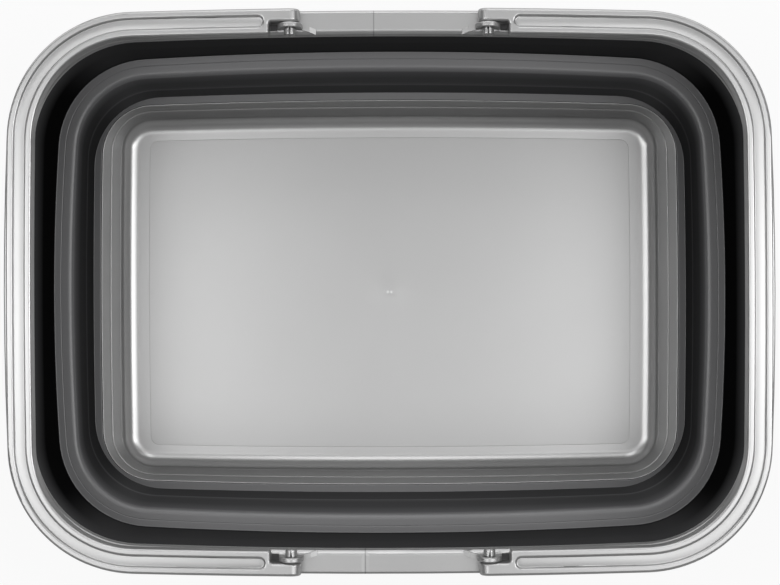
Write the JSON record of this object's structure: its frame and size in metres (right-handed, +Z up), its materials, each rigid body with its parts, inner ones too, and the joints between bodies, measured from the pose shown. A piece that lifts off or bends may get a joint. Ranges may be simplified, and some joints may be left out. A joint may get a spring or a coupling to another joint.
{
  "type": "collapsible washing-up bowl",
  "caption": "Oblong collapsible washing-up bowl: rigid tray and rim joined by soft folding walls, with folding carrying handles.",
  "frame": {"origin": "centre of the underside of the tray, where the open bowl stands", "axes": "+Z up out of the bowl, +X along the long side, +Y towards the far long side"},
  "size_m": [0.45, 0.3284, 0.2352],
  "materials": {
    "silver_plastic": "satin, silver pigment",
    "soft_grey": "satin"
  },
  "bodies": {
    "base": {"base_tray": "silver_plastic", "wall_foot": "soft_grey", "folding_wall": "soft_grey"},
    "rim": {"rim_frame": "silver_plastic", "upper_wall": "soft_grey"},
    "left_bail": {"left_handle": "silver_plastic", "pivot_pin_left_far": "silver_plastic", "pivot_pin_left_near": "silver_plastic"},
    "right_bail": {"right_handle": "silver_plastic", "pivot_pin_right_far": "silver_plastic", "pivot_pin_right_near": "silver_plastic"}
  },
  "joints": [
    {"name": "collapse", "type": "slide", "parent": "base", "child": "rim", "axis": [0, 0, -1], "range_m": [0, 0.143], "deforming": ["folding_wall"]},
    {"name": "left_handle_lift", "type": "hinge", "parent": "rim", "child": "left_bail", "pos_m": [-0.0574, 0, 0.2281], "axis": [0, 1, 0], "range_deg": [0, 108]},
    {"name": "right_handle_lift", "type": "hinge", "parent": "rim", "child": "right_bail", "pos_m": [0.0574, 0, 0.2281], "axis": [0, -1, 0], "range_deg": [0, 108]}
  ]
}
